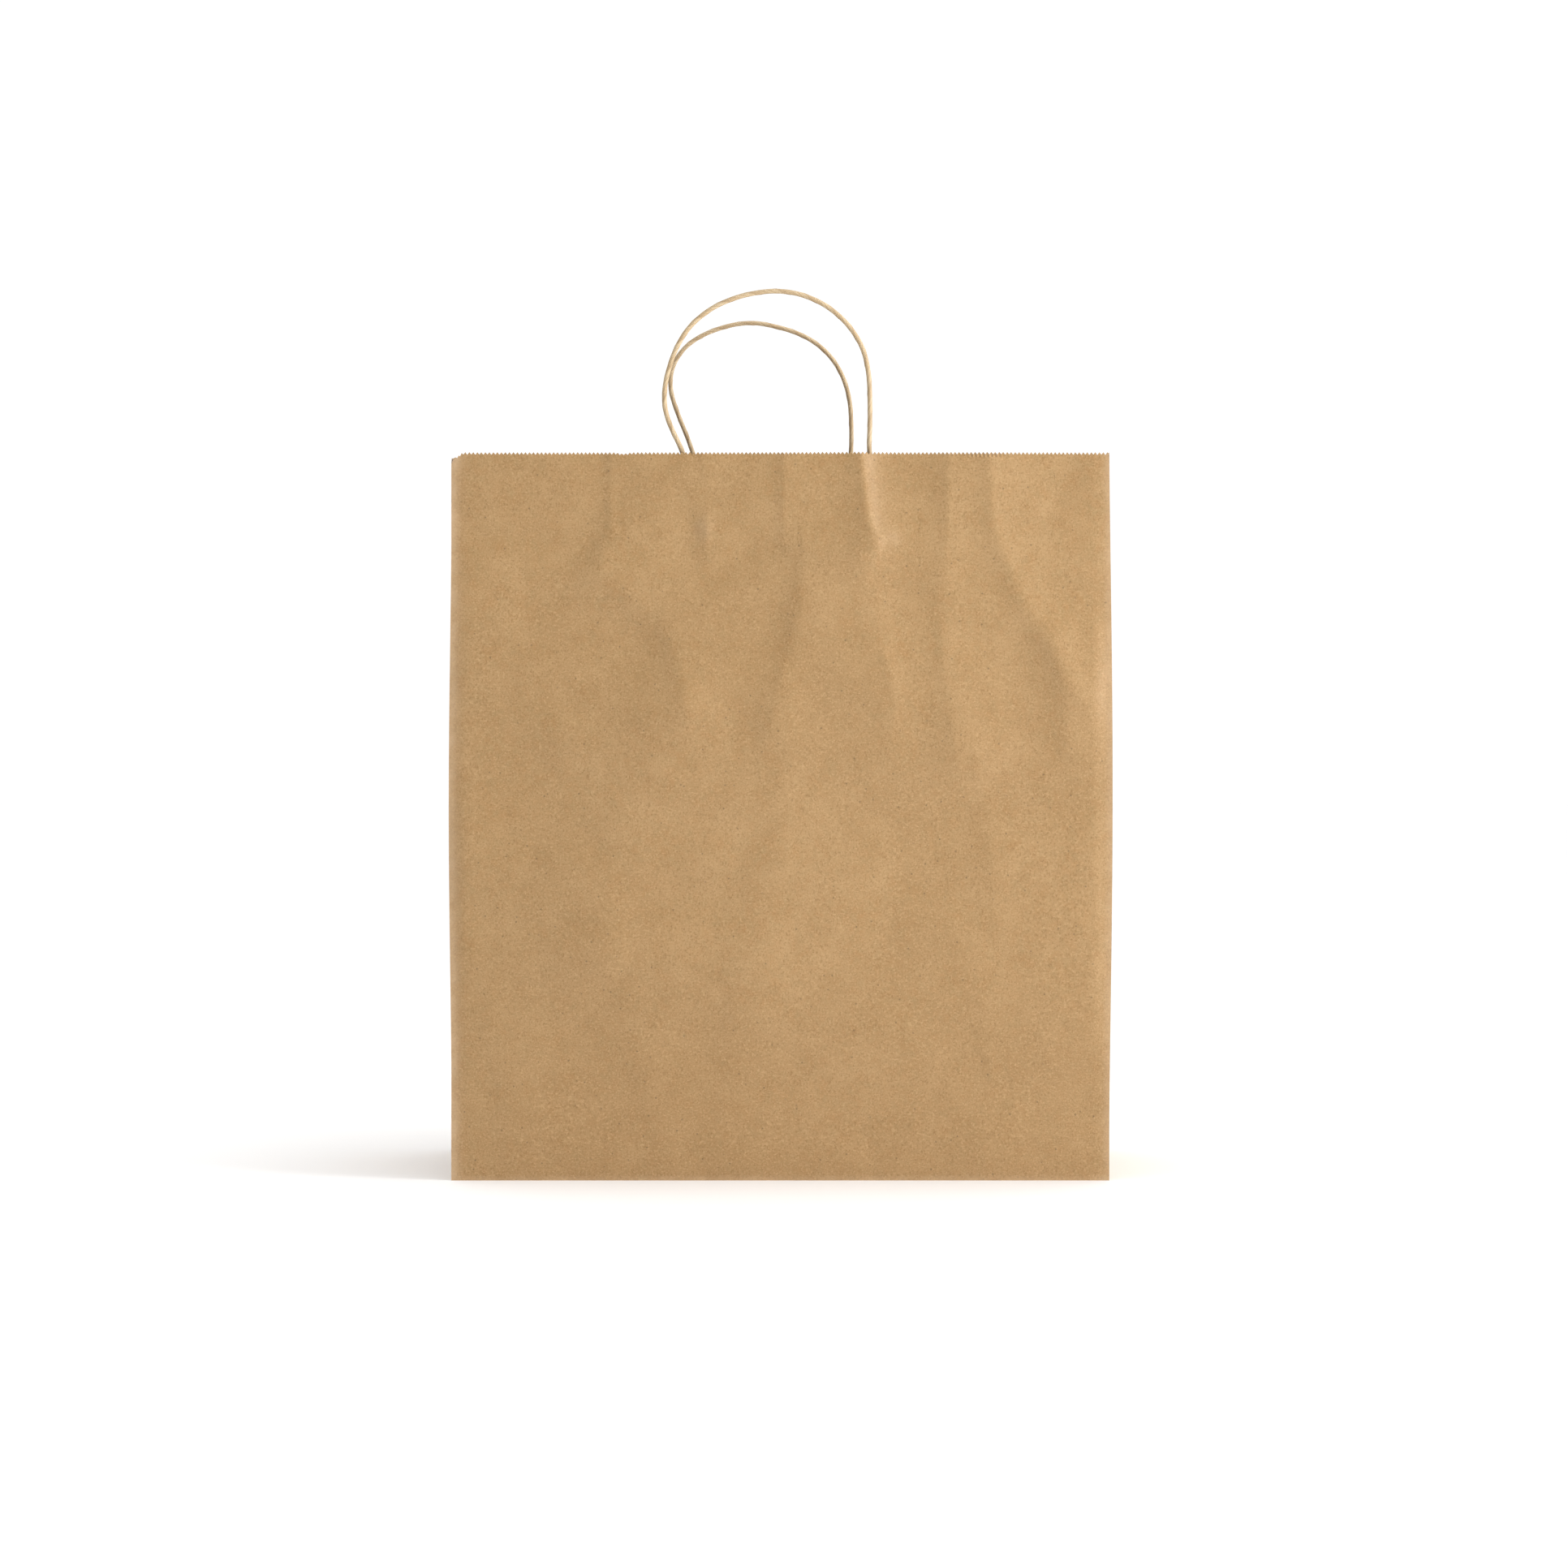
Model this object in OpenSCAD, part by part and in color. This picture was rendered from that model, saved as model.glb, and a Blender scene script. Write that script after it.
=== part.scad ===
// Kraft paper gift bag with a flat block bottom, side gussets and two twisted paper handles.
// The bag stands on z = 0 under its own centre, and its smooth front faces -Y.
// The sheet is split at its creases into stiff panels, so that the bag can fold flat.

/* [Bag] */
// Width across the front
bag_w = 356; // [300:1:420]
// Depth of the block bottom and of each gusset
bag_d = 178; // [150:1:190]
// Height from the floor to the tips of the pinked edge
bag_h = 394; // [360:1:450]
// Thickness of one layer of kraft paper
paper_t = 0.15; // [0.12:0.01:0.2]

/* [Creases] */
// Clearance along a crease, where two panels bend
crease_gap = 0.1; // [0.08:0.01:0.15]
// Relief along the slanted creases of the lower corners
corner_relief = 3; // [3:0.5:5]

/* [Bottom and seam] */
// Overlap of the two bottom flaps at the middle
flap_overlap = 24; // [12:1:40]
// How far a side tuck reaches past its own slanted creases
tuck_reach = 10; // [5:1:20]
// Width of the glued lap down the back
lap_w = 20; // [12:1:25]
// Distance of the lap from the back's left edge
lap_inset = 38; // [30:1:45]

/* [Handles] */
// Diameter of the twisted paper cord
cord_d = 2.8; // [2:0.1:3]
// Width of the glued handle patch
patch_w = 190; // [150:1:195]
// Height of the glued handle patch
patch_h = 45; // [40:1:50]
// Distance of the patch below the top edge
patch_drop = 4; // [3:0.5:8]
// Height of the cord's bend above the top edge
bend_rise = 3; // [3:0.5:5]

/* [Hidden] */

LEFT = -1;
RIGHT = 1;
kraft = [0.73, 0.6, 0.42];
kraft_patch = [0.76, 0.64, 0.46];
cord_cream = [0.84, 0.76, 0.6];

half_w = bag_w / 2;
half_d = bag_d / 2;
// Height of the crease that crosses the back and meets the gusset's mid crease
fold_z = half_d;
// Half extents of the space inside the four walls
inner_x = half_w - paper_t;
inner_y = half_d - paper_t;
// Edge of a panel that meets a wall square on
meet_x = inner_x - crease_gap;
meet_y = inner_y - crease_gap;
// Relief measured along a level line across a crease that runs at 45 degrees
slant_relief = corner_relief * sqrt(2);

cord_r = cord_d / 2;
// Depth of the cord's centre inside the outer face of its wall
cord_depth = paper_t * 2 + cord_r;
bend_z = bag_h + bend_rise;
// A loop starts a little past the ball end of its leg
loop_start = cord_r + 0.8;
// Sides and ring spacing of a loop's tube
tube_sides = 8;
steps_per_span = 2;

// Places where each leg ends inside its patch and where it bends at the top: [x, height over the edge]
front_leg_ends = [[-40, -42], [56, -42]];
front_bends = [[-54, bend_rise], [48, bend_rise]];
back_leg_ends = [[-38, -42], [48, -42]];
back_bends = [[-48, bend_rise], [41, bend_rise]];

// The loops' routes between their bends: [x, height over the edge]
front_route = [
    [-57, 9], [-61, 18], [-63, 29], [-61.5, 41], [-57, 55], [-50, 67], [-38, 77.5], [-22, 84.5],
    [-2, 87.5], [13, 85], [27, 78], [38, 67.5], [45, 55.5], [48, 41], [48.5, 26], [48.5, 12]
];
back_route = [
    [-50.5, 12], [-55.5, 26], [-61.5, 41], [-65, 55], [-62.5, 68], [-54, 79], [-38, 87.5], [-18, 91.5],
    [-2, 89], [12, 84.5], [24, 77], [34, 65], [40, 49], [41.5, 33], [41.5, 17]
];

// ---------- paper panels ----------

// An upright panel across the bag, drawn as an outline in x and z, with its outer face at y
module cross_panel(y_low, outline) {
    translate([0, y_low + paper_t, 0])
        rotate([90, 0, 0])
            linear_extrude(paper_t)
                polygon(outline);
}

// An upright side panel, drawn as an outline in y and z, on the left or the right
module side_panel(side, outline) {
    x_low = side == LEFT ? -half_w : half_w - paper_t;
    translate([x_low, 0, 0])
        rotate([90, 0, 90])
            linear_extrude(paper_t)
                polygon(outline);
}

// A level layer of the bottom, counted from the floor
module bottom_layer(layer, outline) {
    translate([0, 0, layer * paper_t])
        linear_extrude(paper_t)
            polygon(outline);
}

function box_outline(x0, x1, z0, z1) = [[x0, z0], [x1, z0], [x1, z1], [x0, z1]];

// A bottom flap from the front crease, with ends that run at 45 degrees to past the middle
function flap_outline(way) =
    let (tip_y = flap_overlap / 2, inset = meet_y + tip_y)
    [[-meet_x, -way * meet_y], [meet_x, -way * meet_y],
     [meet_x - inset, way * tip_y], [-meet_x + inset, way * tip_y]];

module base_flap_front() {
    color(kraft)
        bottom_layer(1, flap_outline(1));
}

module base_flap_back() {
    color(kraft)
        bottom_layer(0, flap_outline(-1));
}

// A side tuck under the flaps, with its inner corners folded off at 45 degrees
module base_tuck(side) {
    reach = meet_y + tuck_reach;
    corner = meet_y - tuck_reach * 2;
    color(kraft)
        bottom_layer(2, [
            [side * meet_x, -meet_y], [side * meet_x, meet_y],
            [side * (meet_x - reach + corner), meet_y], [side * (meet_x - reach), meet_y - corner],
            [side * (meet_x - reach), corner - meet_y], [side * (meet_x - reach + corner), -meet_y]
        ]);
}

module base_tuck_left() { base_tuck(LEFT); }
module base_tuck_right() { base_tuck(RIGHT); }

module front_panel() {
    color(kraft)
        cross_panel(-half_d, box_outline(-half_w, half_w, 0, bag_h));
}

module back_panel() {
    color(kraft)
        cross_panel(inner_y, box_outline(-half_w, half_w, fold_z + crease_gap / 2, bag_h));
}

module back_panel_lower() {
    color(kraft)
        cross_panel(inner_y, box_outline(-half_w, half_w, 0, fold_z - crease_gap / 2));
}

// The second layer of the glued seam, inside the back
module lap(z0, z1) {
    x0 = -half_w + lap_inset;
    color(kraft_patch)
        cross_panel(inner_y - paper_t, box_outline(x0, x0 + lap_w, z0, z1));
}

module seam_lap_lower() { lap(3, fold_z - 1); }
module seam_lap() { lap(fold_z + 1, bag_h - 2); }

// Half of a side gusset above the slanted crease, in front of the mid crease or behind it
module gusset(side, way, relief) {
    corner_z = half_d - meet_y + relief;
    mid_y = crease_gap / 2;
    color(kraft)
        side_panel(side, [
            [way * meet_y, corner_z], [way * mid_y, fold_z - mid_y + relief],
            [way * mid_y, bag_h], [way * meet_y, bag_h]
        ]);
}

module left_gusset_back() { gusset(LEFT, 1, slant_relief); }
module left_gusset_front() { gusset(LEFT, -1, crease_gap * 3); }
module right_gusset_back() { gusset(RIGHT, 1, slant_relief); }
module right_gusset_front() { gusset(RIGHT, -1, crease_gap * 3); }

// The triangle between a side's two slanted creases, which folds down onto the bottom
module foot(side) {
    foot_y = meet_y - crease_gap * 5;
    color(kraft)
        side_panel(side, [[-foot_y, 0], [foot_y, 0], [0, foot_y]]);
}

module left_foot() { foot(LEFT); }
module right_foot() { foot(RIGHT); }

// ---------- handles, drawn for the front and mirrored for the back ----------

// One straight glued leg: a cord of the given radius from its end in the patch to its bend
module leg_core(end, bend, radius) {
    run = bend - end;
    translate([end[0], cord_depth - half_d, bag_h + end[1]])
        rotate([0, atan2(run[0], run[1]), 0])
            cylinder(r = radius, h = norm(run), $fn = 24);
}

// The cord's glued legs, each with a ball where the loop bends
module handle_legs(ends, bends) {
    color(cord_cream)
        for (i = [0, 1]) {
            union() {
                leg_core(ends[i], bends[i], cord_r);
                translate([bends[i][0], cord_depth - half_d, bag_h + bends[i][1]])
                    sphere(r = cord_r, $fn = 24);
            }
        }
}

module patch_sheet(depth) {
    top_z = bag_h - patch_drop;
    color(kraft_patch)
        cross_panel(depth - half_d, box_outline(-patch_w / 2, patch_w / 2, top_z - patch_h, top_z));
}

module handle_backing() { patch_sheet(paper_t); }

// The cover sheet, pressed over both legs into half-round ribs
module handle_cover(ends, bends) {
    top_z = bag_h - patch_drop;
    color(kraft_patch)
        difference() {
            union() {
                patch_sheet(paper_t * 2);
                intersection() {
                    for (i = [0, 1])
                        leg_core(ends[i], bends[i], cord_r + paper_t);
                    translate([-patch_w / 2, paper_t * 2 - half_d, top_z - patch_h])
                        cube([patch_w, cord_d * 2, patch_h]);
                }
            }
            for (i = [0, 1])
                leg_core(ends[i], bends[i], cord_r);
        }
}

// A smooth curve through the route: the point at a share s of the span from b to c
function spline(a, b, c, d, s) =
    0.5 * (2 * b + (c - a) * s + (2 * a - 5 * b + 4 * c - d) * s * s + (3 * b - a - 3 * c + d) * s * s * s);

function route_point(r, i) = r[max(0, min(len(r) - 1, i))];

function smooth_route(r) = [
    for (i = [0 : len(r) - 2], k = [0 : steps_per_span - 1])
        spline(route_point(r, i - 1), r[i], r[i + 1], route_point(r, i + 2), k / steps_per_span),
    r[len(r) - 1]
];

function unit(v) = v / norm(v);

// The route with both ends cut back from the bends, so that the loop clears the balls
function loop_route(bends, route) =
    let (last = len(route) - 1,
         start = bends[0] + loop_start * unit(route[0] - bends[0]),
         end = bends[1] + loop_start * unit(route[last] - bends[1]))
    concat([start], route, [end]);

// One ring of the tube: its frame is the route's own normal and the bag's depth
function ring(p, along) =
    let (across = [along[1], -along[0]])
    [for (k = [0 : tube_sides - 1])
        let (a = 360 * k / tube_sides, side = cord_r * cos(a) * across)
        [p[0] + side[0], cord_depth - half_d + cord_r * sin(a), bag_h + p[1] + side[1]]];

module handle_loop(bends, route) {
    line = smooth_route(loop_route(bends, route));
    n = len(line);
    rings = [for (i = [0 : n - 1])
        ring(line[i], unit(line[min(n - 1, i + 1)] - line[max(0, i - 1)]))];
    points = [for (r = rings) each r];
    walls = [for (i = [0 : n - 2], k = [0 : tube_sides - 1])
        let (next = (k + 1) % tube_sides, here = i * tube_sides)
        [here + k, here + tube_sides + k, here + tube_sides + next, here + next]];
    first_end = [for (k = [0 : tube_sides - 1]) k];
    last_end = [for (k = [tube_sides - 1 : -1 : 0]) (n - 1) * tube_sides + k];
    color(cord_cream)
        polyhedron(points, concat([first_end], walls, [last_end]));
}

module front_handle_backing() { handle_backing(); }
module front_handle_cover() { handle_cover(front_leg_ends, front_bends); }
module front_handle_legs() { handle_legs(front_leg_ends, front_bends); }
module front_handle_loop() { handle_loop(front_bends, front_route); }

module at_back() {
    mirror([0, 1, 0])
        children();
}

module back_handle_backing() { at_back() handle_backing(); }
module back_handle_cover() { at_back() handle_cover(back_leg_ends, back_bends); }
module back_handle_legs() { at_back() handle_legs(back_leg_ends, back_bends); }
module back_handle_loop() { at_back() handle_loop(back_bends, back_route); }

base_flap_front();
base_flap_back();
base_tuck_left();
base_tuck_right();
back_panel_lower();
seam_lap_lower();
back_panel();
seam_lap();
left_gusset_back();
left_gusset_front();
right_gusset_back();
right_gusset_front();
left_foot();
right_foot();
front_panel();
front_handle_backing();
front_handle_cover();
front_handle_legs();
front_handle_loop();
back_handle_backing();
back_handle_cover();
back_handle_legs();
back_handle_loop();
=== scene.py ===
import math

import bpy
import numpy as np
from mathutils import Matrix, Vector


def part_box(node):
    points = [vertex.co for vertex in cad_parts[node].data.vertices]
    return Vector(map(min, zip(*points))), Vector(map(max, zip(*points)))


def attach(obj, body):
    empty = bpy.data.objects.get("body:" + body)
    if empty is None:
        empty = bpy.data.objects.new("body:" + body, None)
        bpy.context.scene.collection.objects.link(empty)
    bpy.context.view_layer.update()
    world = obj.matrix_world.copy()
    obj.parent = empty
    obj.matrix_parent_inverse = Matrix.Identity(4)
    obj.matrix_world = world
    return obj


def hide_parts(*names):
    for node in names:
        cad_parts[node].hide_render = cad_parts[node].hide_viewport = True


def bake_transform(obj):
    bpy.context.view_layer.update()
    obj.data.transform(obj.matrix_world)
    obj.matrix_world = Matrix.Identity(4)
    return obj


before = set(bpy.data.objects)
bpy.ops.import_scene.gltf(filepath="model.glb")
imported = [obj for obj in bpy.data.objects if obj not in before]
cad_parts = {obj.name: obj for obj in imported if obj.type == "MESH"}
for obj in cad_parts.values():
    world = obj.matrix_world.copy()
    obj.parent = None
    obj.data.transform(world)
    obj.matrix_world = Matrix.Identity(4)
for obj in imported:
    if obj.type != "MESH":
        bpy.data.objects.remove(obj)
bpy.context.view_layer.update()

# A plain kraft paper gift bag, standing open, with a pinked top edge and two twisted paper handles.
# The script works in metres. Relief, folds, worn marks and painted highlight are given in millimetres.

MM = 0.001

# ---------- sizes, taken from the CAD parts ------

FRONT_LO, FRONT_HI = (np.array(p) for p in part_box("front_panel"))
STRIP_HI = np.array(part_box("back_panel_lower")[1])
PATCH_LO, PATCH_HI = (np.array(p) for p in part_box("front_handle_backing"))
HALF_W = FRONT_HI[0]
HALF_D = -FRONT_LO[1]
TOP = FRONT_HI[2]
PAPER = FRONT_HI[1] - FRONT_LO[1]
FOLD_Z = STRIP_HI[2]
INNER_Y = HALF_D - PAPER
COVER_THICKNESS = 0.9 * PAPER
HALF_W_MM = HALF_W / MM
HALF_D_MM = HALF_D / MM
TOP_MM = TOP / MM
FOLD_Z_MM = FOLD_Z / MM

# Gaps that keep the sheets clear of each other at their creases, and half the width of a foot's tip
CORNER_GAP = 0.1 * MM
MID_GAP = 0.06 * MM
SLANT_GAP = 0.15 * MM
LEVEL_GAP = 0.1 * MM
TIP_HALF = 0.4 * MM

# Pinked edge: the teeth across the front and across a side, the depth of the cut, and how far below the
# edge the last two rows of the mesh lie
TEETH_FRONT = 164
TEETH_GUSSET = 42
TOOTH_DEPTH = 1.4 * MM
TOOTH_ROOT = 3 * MM
TOOTH_BAND = 6 * MM

# Twisted paper cord. It is glued between the patches up to CORD_EXIT, and the two lengths are those between
# its exits. It follows the wall up to LEAVES_WALL, and the handle from FREE_OF_WALL on.
CORD_D = 2.8 * MM
CORD_R = CORD_D / 2
CORD_Y = HALF_D - 2 * PAPER - CORD_R
CORD_EXIT = PATCH_HI[2] + 1 * MM
FRONT_CORD_LENGTH = 0.25
BACK_CORD_LENGTH = 0.26
# One turn of the twist takes TWIST_PITCH, and the turns drift a little back and forth over a few of these
TWIST_PITCH = 16 * MM
TWIST_DRIFT = 31 * MM
# How finely the cord is drawn: its sides, the step between its rings, the curve's points between two places
# of the route, and the rings each way over which its small bends are evened out
CORD_SIDES = 28
RING_STEP = 0.7 * MM
SPAN_POINTS = 16
EASE_RINGS = 14

# Places in x and in height over the top edge, in millimetres, as in the CAD model. The cord bends at the
# handle's axis.
BEND_RISE = 3.0
FRONT_LEG_ENDS = [(-40, -42), (56, -42)]
FRONT_BENDS = [(-54, BEND_RISE), (48, BEND_RISE)]
BACK_LEG_ENDS = [(-38, -42), (48, -42)]
BACK_BENDS = [(-48, BEND_RISE), (41, BEND_RISE)]
FRONT_ROUTE = [
    (-57, 9), (-61, 18), (-63, 29), (-61.5, 41), (-57, 55), (-50, 67), (-38, 77.5), (-22, 84.5),
    (-2, 87.5), (13, 85), (27, 78), (38, 67.5), (45, 55.5), (48, 41), (48.5, 26), (48.5, 12),
]
BACK_ROUTE = [
    (-50.5, 12), (-55.5, 26), (-61.5, 41), (-65, 55), (-62.5, 68), (-54, 79), (-38, 87.5), (-18, 91.5),
    (-2, 89), (12, 84.5), (24, 77), (34, 65), (40, 49), (41.5, 33), (41.5, 17),
]


# ---------- relief: how far the paper stands out of its flat panel ----------

# A creased fold against a soft one of the same width: how round its crest is, and how far its flanks reach
CREST_ROUND = 0.2
FLANK_REACH = 0.8
# What the heights of the front's folds are multiplied by
FOLD_HEIGHT = 1.3


def ease(t):
    """Zero below 0 and one above 1, with a smooth step between."""
    t = np.clip(t, 0, 1)
    return t * t * (3 - 2 * t)


def ridge(x, z, start, end, left, right, height, fade=18, creased=False):
    """A fold whose crest runs from start to end, with its own width on each side. All in millimetres.

    A soft fold is rounded all over. A creased one turns sharply at its crest, as stiff paper does.
    """
    ax, az = start
    dx, dz = end[0] - ax, end[1] - az
    length = math.hypot(dx, dz)
    along = ((x - ax) * dx + (z - az) * dz) / length
    side = ((x - ax) * -dz + (z - az) * dx) / length
    # side is positive to the right of a crest that runs downwards
    width = np.where(side < 0, left, right)
    past = np.maximum(0, np.maximum(-along, along - length))
    slope = side / width
    profile = np.exp(-slope ** 2)
    if creased:
        profile = np.exp(CREST_ROUND - np.sqrt((slope / FLANK_REACH) ** 2 + CREST_ROUND ** 2))
    return height * profile * np.exp(-(past / fade) ** 2)


def edge_fade(x, z, reach):
    """Zero on the creases at both sides and at the foot, one inside the wall, and half on the top edge."""
    side = ease((HALF_W_MM - np.abs(x)) / reach)
    foot = ease(z / reach)
    return side * foot * ease((TOP_MM - z) / (reach * 0.5) + 0.5)


def leg_ridge(x, z, end, bend, left, right, height):
    """The glued cord leg pressed through the wall, from the top edge down to the leg's end."""
    crest = (bend[0], TOP_MM + bend[1]), (end[0], TOP_MM + end[1])
    return ridge(x, z, *crest, left, right, height, fade=3)


def patch_step(x, z, lift):
    """The faint edge of the glued patch behind the wall."""
    inside_x = ease((PATCH_HI[0] / MM - np.abs(x)) / 5)
    inside_z = ease((z - PATCH_LO[2] / MM) / 4)
    return lift * inside_x * inside_z


def fold(x, z, crest, left, right, height, fade=14):
    """One fold along a crest of several points. Where two stretches meet, the higher one counts."""
    heights = [ridge(x, z, start, end, left, right, height, fade, creased=True)
               for start, end in zip(crest, crest[1:])]
    return np.maximum.reduce(heights)


def left_folds(x, z):
    """A shallow hollow under the left leg with a crest round it, and two creases under the top edge."""
    folds = fold(x, z, [(-96, 326), (-84, 319), (-64, 304), (-56, 282), (-51, 258)], 15, 44, 1.9)
    folds += fold(x, z, [(-54, 252), (-84, 246), (-116, 246)], 9, 26, 0.8)
    folds += fold(x, z, [(-66, 240), (-96, 140)], 60, 60, 2.6, fade=40)
    folds += fold(x, z, [(-150, 330), (-140, 280)], 18, 24, 0.4, fade=30)
    folds += fold(x, z, [(-93, 402), (-92, 362), (-97, 336)], 5, 44, 0.5, fade=8)
    folds += fold(x, z, [(-43, 396), (-38, 372), (-40, 340)], 5, 24, 0.6, fade=10)
    return folds


def middle_folds(x, z):
    """The long soft fold that hangs from the middle of the top edge, and the crest beside the right leg."""
    folds = fold(x, z, [(2, 398), (2, 345)], 5, 34, 0.65, fade=6)
    folds += fold(x, z, [(0, 400), (4, 320)], 60, 46, 1.2, fade=30)
    folds += fold(x, z, [(13, 338), (11, 308), (4, 280), (-5, 246)], 10, 34, 1.2)
    folds += fold(x, z, [(2, 250), (0, 190), (-10, 120)], 60, 30, 1.7, fade=40)
    folds += fold(x, z, [(50, 290), (56, 285), (60, 276), (62, 262)], 3, 3, 0.35, fade=3)
    folds += fold(x, z, [(46, 330), (56, 290), (62, 240)], 34, 16, 1.2, fade=20)
    return folds


def right_folds(x, z):
    """The drag folds that run from the right leg and the upper right edge down to the right side."""
    folds = fold(x, z, [(94, 402), (90, 340), (88, 290), (95, 236)], 16, 34, 1.8, fade=22)
    folds += fold(x, z, [(113, 402), (115, 352), (130, 316), (147, 286), (159, 266)], 13, 18, 1.8, fade=14)
    folds += fold(x, z, [(150, 292), (156, 238)], 11, 16, 0.9)
    folds += fold(x, z, [(104, 238), (112, 200), (117, 146)], 13, 8, 0.4)
    folds += fold(x, z, [(168, 250), (169, 120)], 22, 8, 0.45, fade=36)
    folds += fold(x, z, [(96, 130), (112, 90)], 14, 30, 0.6, fade=30)
    folds += fold(x, z, [(112, 70), (115, 58)], 5, 3.5, 0.45, fade=4)
    return folds


def low_folds(x, z):
    """The broad swell of the wall, and the softer waves near the foot."""
    folds = fold(x, z, [(44, 260), (40, 110)], 130, 88, 1.8, fade=90)
    folds += fold(x, z, [(-88, 110), (-66, 30)], 20, 36, 0.7, fade=40)
    folds += fold(x, z, [(-24, 100), (-30, 50)], 10, 26, 0.4, fade=24)
    folds += fold(x, z, [(-156, 90), (-146, 30)], 16, 60, 0.9, fade=30)
    folds += fold(x, z, [(46, 98), (60, 96)], 4, 4, -0.3, fade=4)
    folds += fold(x, z, [(76, 70), (110, 20)], 26, 40, 0.6, fade=30)
    return folds


def front_relief(x, z):
    """Outward relief of the front, in millimetres, from x and z in millimetres."""
    folds = left_folds(x, z) + middle_folds(x, z) + right_folds(x, z) + low_folds(x, z)
    folds *= FOLD_HEIGHT * edge_fade(x, z, 9)
    legs = fold(x, z, [(43, 402), (45, 380), (47.5, 358), (50, 350), (54, 346)], 12, 4.2, 1.7, fade=3)
    legs += fold(x, z, [(44, 402), (51, 345)], 34, 17, 2.0, fade=14)
    legs += leg_ridge(x, z, FRONT_LEG_ENDS[0], FRONT_BENDS[0], 6, 6, 0.45)
    legs += ridge(x, z, (-43, 355), (-40, 351), 4, 4, 0.5, fade=3)
    legs += ridge(x, z, (57, 354), (60, 348), 4, 5, 0.5, fade=4)
    return folds + legs + patch_step(x, z, 0.28)


def back_relief(x, z):
    """Outward relief of the back, which has been folded over and shows softer waves."""
    folds = ridge(x, z, (-90, 390), (-60, 200), 40, 30, 1.4, fade=40)
    folds += ridge(x, z, (70, 380), (20, 180), 26, 44, 1.2, fade=40)
    folds += ridge(x, z, (130, 340), (150, 180), 24, 16, 0.9, fade=30)
    folds += ridge(x, z, (-140, 280), (-120, 160), 22, 20, 0.7, fade=30)
    folds *= edge_fade(x, z, 12) * ease((z - FOLD_Z_MM) / 60)
    legs = leg_ridge(x, z, BACK_LEG_ENDS[0], BACK_BENDS[0], 3, 8, 0.8)
    legs += leg_ridge(x, z, BACK_LEG_ENDS[1], BACK_BENDS[1], 3, 7, 0.5)
    return folds + legs + lap_step(x, z) + patch_step(x, z, 0.25)


def lap_inset(x):
    """How far a place lies inside the glued lap: negative outside it."""
    lap_lo, lap_hi = (p[0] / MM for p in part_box("seam_lap"))
    return np.minimum(x - lap_lo, lap_hi - x)


def lap_step(x, z):
    """The seam's lap behind the wall, which dies out at the level crease."""
    return 0.2 * ease((lap_inset(x) + 0.5) / 1.5) * ease(np.abs(z - FOLD_Z_MM) / 14)


def strip_relief(x, z):
    """The lowest strip of the back, tight between its two creases."""
    folds = ridge(x, z, (-60, 70), (-30, 20), 30, 30, 0.35)
    folds += ridge(x, z, (80, 75), (60, 25), 26, 34, 0.3)
    clear_of_crease = ease((FOLD_Z_MM - z) / 20)
    return folds * edge_fade(x, z, 12) * clear_of_crease + lap_step(x, z)


def gusset_relief(seed):
    """Outward relief of a gusset half: a long soft swell and a few pressed folds."""
    rng = np.random.default_rng(seed)
    shift = rng.uniform(-8, 8, 4)

    def relief(y, z):
        across = np.clip(np.abs(y) / HALF_D_MM, 0, 1)
        swell = np.sin(math.pi * across) ** 1.3
        wave = 0.55 + 0.18 * np.sin(z / 31 + shift[0]) + 0.12 * np.sin(z / 13 + shift[1])
        pressed = ridge(y, z, (30 + shift[2], 330), (55 + shift[3], 210), 10, 16, 0.35)
        pressed += ridge(-y, z, (38 - shift[2], 260), (52, 150), 12, 18, 0.3)
        return swell * (wave + pressed) * ease((z - 6) / 60) * ease((TOP_MM + 2 - z) / 30 + 0.3)
    return relief


def no_relief(u, v):
    return np.zeros_like(u)


# ---------- paper sheets ----------

def sheet_rows(corners, cols, rows, fine=1, dense_from=1.0, pinked=False):
    """Rows of (u, v) places over a four-cornered panel, from the foot up.

    Rows above the share dense_from have fine times as many columns. A pinked sheet ends in a row of teeth.
    """
    foot_left, foot_right, top_right, top_left = (np.array(c, float) for c in corners)
    height = top_left[1] - foot_left[1]
    shares = [k / rows for k in range(rows + 1)]
    if pinked:
        under_teeth = [1 - TOOTH_BAND / height, 1 - TOOTH_ROOT / height]
        shares = [share for share in shares if share < under_teeth[0] - 0.3 / rows] + under_teeth
    grid = []
    for share in shares:
        dense = share >= dense_from or pinked and share >= under_teeth[0]
        across = np.linspace(0, 1, cols * (fine if dense else 1) + 1)[:, None]
        left = foot_left + (top_left - foot_left) * share
        right = foot_right + (top_right - foot_right) * share
        grid.append(left + (right - left) * across)
    if pinked:
        edge = top_left + (top_right - top_left) * across
        cut = 1 - np.arange(len(edge)) % 2
        edge[:, 1] -= TOOTH_DEPTH * cut * tooth_cut(edge[:, 0])
        grid.append(edge)
    return grid


def tooth_cut(u):
    """Depth of each cut as a share of the full depth, a little uneven from tooth to tooth."""
    return 1 + 0.07 * np.sin(u / MM * 7.3) + 0.05 * np.sin(u / MM * 2.9)


def stitch(low, high, faces):
    """Faces between two rows of vertex numbers. The upper row may be finer than the lower one."""
    step = (len(high) - 1) // (len(low) - 1)
    for i in range(len(low) - 1):
        upper = high[i * step:(i + 1) * step + 1]
        faces.append([low[i], low[i + 1]] + upper[::-1])


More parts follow.
